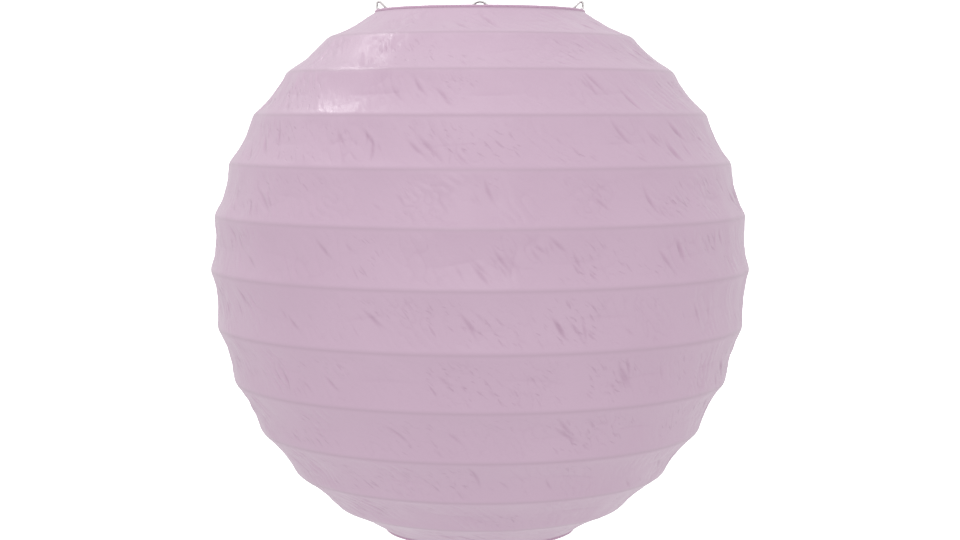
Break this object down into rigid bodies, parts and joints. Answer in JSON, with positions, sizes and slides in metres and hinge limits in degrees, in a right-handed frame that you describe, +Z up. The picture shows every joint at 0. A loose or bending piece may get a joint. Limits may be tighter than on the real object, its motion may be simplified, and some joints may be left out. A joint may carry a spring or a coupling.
{
  "type": "paper lantern",
  "caption": "Round paper lantern of wire rings and paper bands, held open by a wire expander and hung from its eye; folds flat.",
  "frame": {"origin": "centre of the hanging eye", "axes": "+Z up, against the pull of the load; +X along the plane of the wire expander, towards its right side"},
  "size_m": [0.4, 0.4, 0.3981],
  "materials": {
    "paper": "matte, slightly translucent",
    "hem_paper": "matte",
    "rib_wire": "dull",
    "rim_wire": "dull",
    "expander_wire": "satin"
  },
  "bodies": {
    "frame": {"top_rim": "rim_wire", "top_hem": "hem_paper", "paper_band_01": "paper", "expander_eye": "expander_wire", "expander_left_arm": "expander_wire", "expander_left_leg": "expander_wire", "expander_left_catch": "expander_wire", "expander_right_arm": "expander_wire", "expander_right_leg": "expander_wire", "expander_right_catch": "expander_wire"},
    "ring_01": {"rib_01": "rib_wire", "paper_band_02": "paper"},
    "ring_02": {"rib_02": "rib_wire", "paper_band_03": "paper"},
    "ring_03": {"rib_03": "rib_wire", "paper_band_04": "paper"},
    "ring_04": {"rib_04": "rib_wire", "paper_band_05": "paper"},
    "ring_05": {"rib_05": "rib_wire", "paper_band_06": "paper"},
    "ring_06": {"rib_06": "rib_wire", "paper_band_07": "paper"},
    "ring_07": {"rib_07": "rib_wire", "paper_band_08": "paper"},
    "ring_08": {"rib_08": "rib_wire", "paper_band_09": "paper"},
    "ring_09": {"rib_09": "rib_wire", "paper_band_10": "paper"},
    "ring_10": {"rib_10": "rib_wire", "paper_band_11": "paper"},
    "ring_11": {"rib_11": "rib_wire", "paper_band_12": "paper"},
    "bottom_ring": {"bottom_rim": "rim_wire", "bottom_hem": "hem_paper"}
  },
  "joints": [
    {"name": "fold_01", "type": "slide", "parent": "frame", "child": "ring_01", "axis": [0, 0, 1], "range_m": [0, 0.0161], "deforming": ["paper_band_01"]},
    {"name": "fold_02", "type": "slide", "parent": "ring_01", "child": "ring_02", "axis": [0, 0, 1], "range_m": [0, 0.0226], "deforming": ["paper_band_02"]},
    {"name": "fold_03", "type": "slide", "parent": "ring_02", "child": "ring_03", "axis": [0, 0, 1], "range_m": [0, 0.02811], "deforming": ["paper_band_03"]},
    {"name": "fold_04", "type": "slide", "parent": "ring_03", "child": "ring_04", "axis": [0, 0, 1], "range_m": [0, 0.0324], "deforming": ["paper_band_04"]},
    {"name": "fold_05", "type": "slide", "parent": "ring_04", "child": "ring_05", "axis": [0, 0, 1], "range_m": [0, 0.03532], "deforming": ["paper_band_05"]},
    {"name": "fold_06", "type": "slide", "parent": "ring_05", "child": "ring_06", "axis": [0, 0, 1], "range_m": [0, 0.03694], "deforming": ["paper_band_06"]},
    {"name": "fold_07", "type": "slide", "parent": "ring_06", "child": "ring_07", "axis": [0, 0, 1], "range_m": [0, 0.03904], "deforming": ["paper_band_07"]},
    {"name": "fold_08", "type": "slide", "parent": "ring_07", "child": "ring_08", "axis": [0, 0, 1], "range_m": [0, 0.03727], "deforming": ["paper_band_08"]},
    {"name": "fold_09", "type": "slide", "parent": "ring_08", "child": "ring_09", "axis": [0, 0, 1], "range_m": [0, 0.03392], "deforming": ["paper_band_09"]},
    {"name": "fold_10", "type": "slide", "parent": "ring_09", "child": "ring_10", "axis": [0, 0, 1], "range_m": [0, 0.02914], "deforming": ["paper_band_10"]},
    {"name": "fold_11", "type": "slide", "parent": "ring_10", "child": "ring_11", "axis": [0, 0, 1], "range_m": [0, 0.02311], "deforming": ["paper_band_11"]},
    {"name": "fold_12", "type": "slide", "parent": "ring_11", "child": "bottom_ring", "axis": [0, 0, 1], "range_m": [0, 0.01606], "deforming": ["paper_band_12", "expander_left_catch", "expander_right_catch"]}
  ],
  "couplings": [
    {"joint": "fold_02", "follows": "fold_01", "ratio": 1.404},
    {"joint": "fold_03", "follows": "fold_01", "ratio": 1.746},
    {"joint": "fold_04", "follows": "fold_01", "ratio": 2.0127},
    {"joint": "fold_05", "follows": "fold_01", "ratio": 2.1937},
    {"joint": "fold_06", "follows": "fold_01", "ratio": 2.2944},
    {"joint": "fold_07", "follows": "fold_01", "ratio": 2.4249},
    {"joint": "fold_08", "follows": "fold_01", "ratio": 2.3147},
    {"joint": "fold_09", "follows": "fold_01", "ratio": 2.1071},
    {"joint": "fold_10", "follows": "fold_01", "ratio": 1.8101},
    {"joint": "fold_11", "follows": "fold_01", "ratio": 1.4354},
    {"joint": "fold_12", "follows": "fold_01", "ratio": 0.99739}
  ]
}
